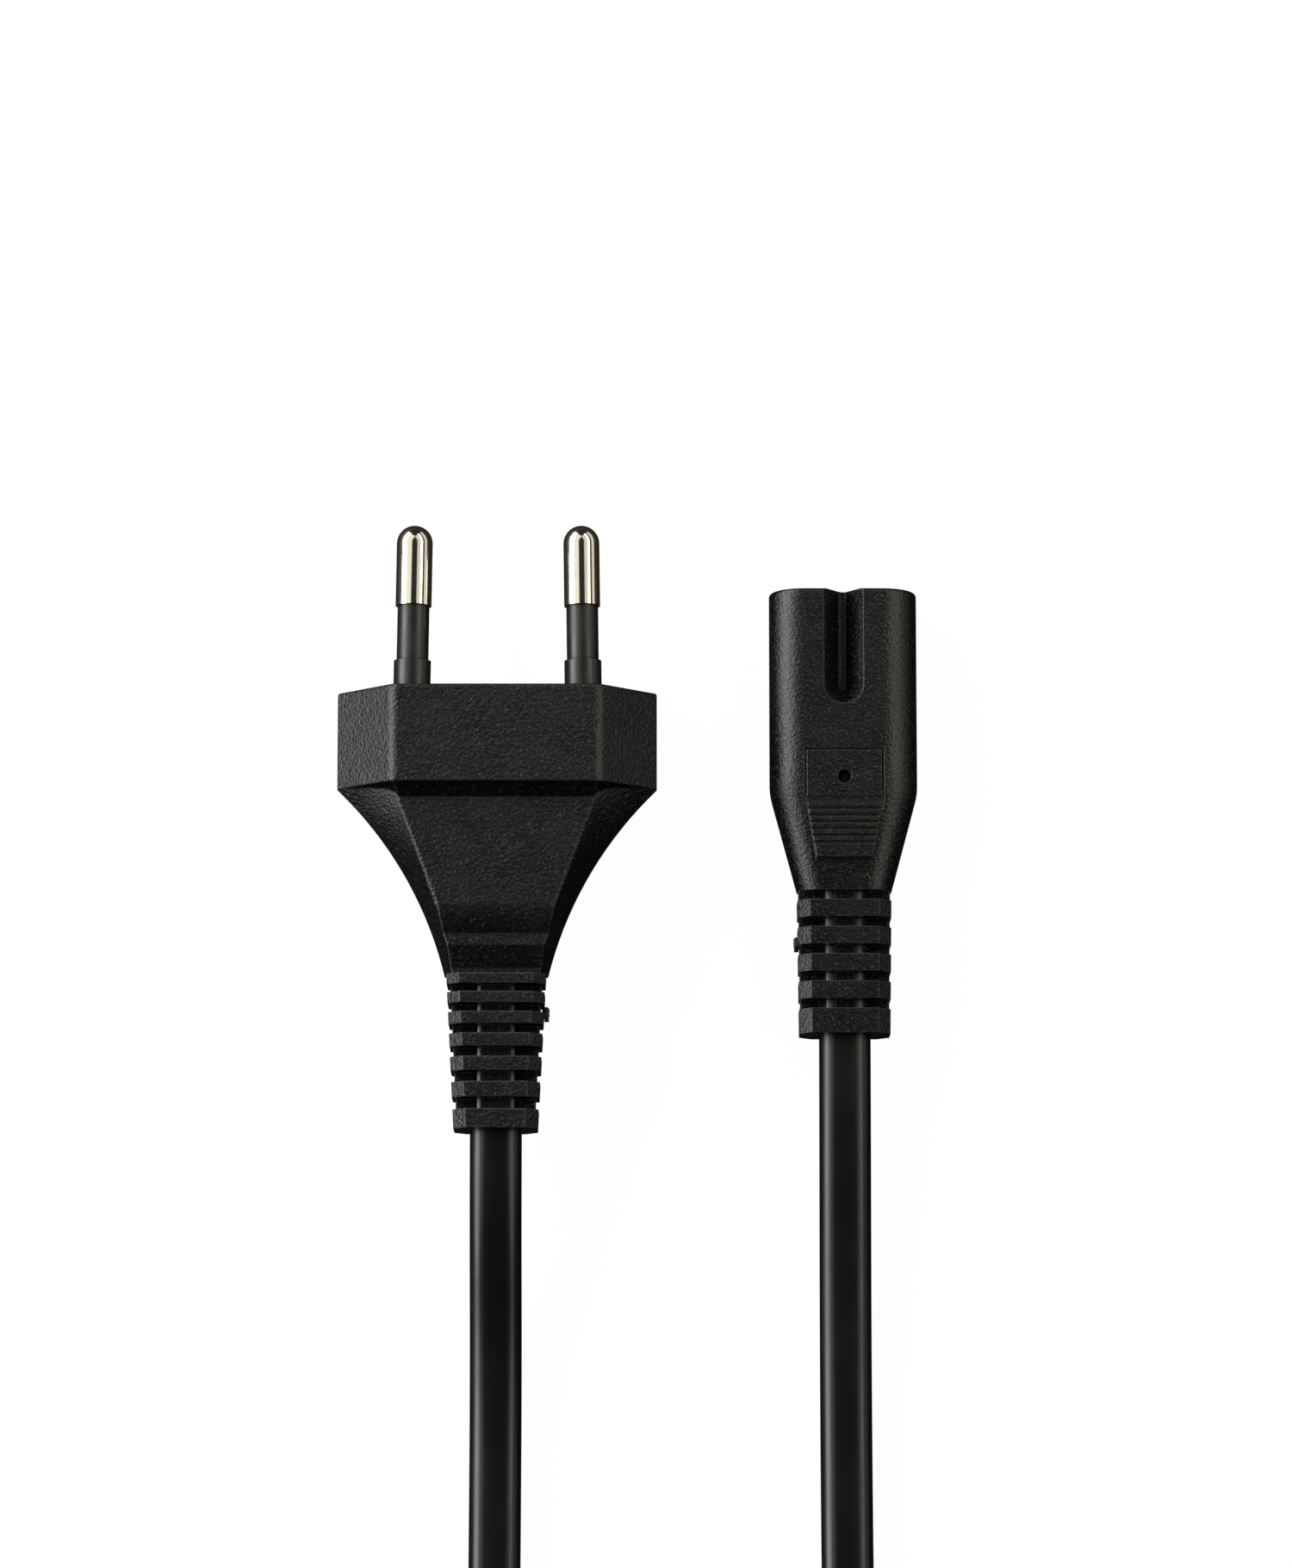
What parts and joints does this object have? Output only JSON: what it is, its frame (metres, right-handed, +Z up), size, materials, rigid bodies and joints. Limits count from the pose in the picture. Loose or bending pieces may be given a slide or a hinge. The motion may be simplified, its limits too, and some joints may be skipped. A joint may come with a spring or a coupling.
{
  "type": "power cord",
  "caption": "Two-wire mains cord with a flat round-pin plug, a figure-of-eight appliance connector and a flat twin cable wound into a tied coil.",
  "frame": {"origin": "on the table under the middle of the box around the plug and the connector, cable left out", "axes": "+X from the plug to the connector, +Y the way the plug's pins and the connector's mouth point, +Z up from the table"},
  "size_m": [0.0787, 0.2275, 0.0137],
  "materials": {
    "moulded_pvc": "black soft PVC with a fine spark-eroded grain",
    "cable_pvc": "black soft PVC, extruded, satin",
    "sleeve_plastic": "black nylon, moulded, satin",
    "nickel_plated_brass": "bright nickel plate",
    "carrier_plastic": "black hard plastic, moulded",
    "contact_bronze": "stamped and rolled bronze",
    "core_brown": "brown PVC",
    "core_blue": "blue PVC",
    "copper_strands": "bare copper",
    "tie_plastic": "black coated strip"
  },
  "bodies": {
    "root": {"plug_body": "moulded_pvc", "pin_bridge": "carrier_plastic", "pin_left": "nickel_plated_brass", "pin_right": "nickel_plated_brass", "pin_sleeve_left": "sleeve_plastic", "pin_sleeve_right": "sleeve_plastic", "core_brown_plug": "core_brown", "core_blue_plug": "core_blue", "strands_brown_plug": "copper_strands", "strands_blue_plug": "copper_strands", "connector_body": "moulded_pvc", "contact_carrier": "carrier_plastic", "contact_left": "contact_bronze", "contact_right": "contact_bronze", "core_brown_connector": "core_brown", "core_blue_connector": "core_blue", "strands_brown_connector": "copper_strands", "strands_blue_connector": "copper_strands", "cable_plug_run": "cable_pvc", "cable_coil": "cable_pvc", "cable_connector_run": "cable_pvc", "coil_tie": "tie_plastic"}
  },
  "joints": []
}
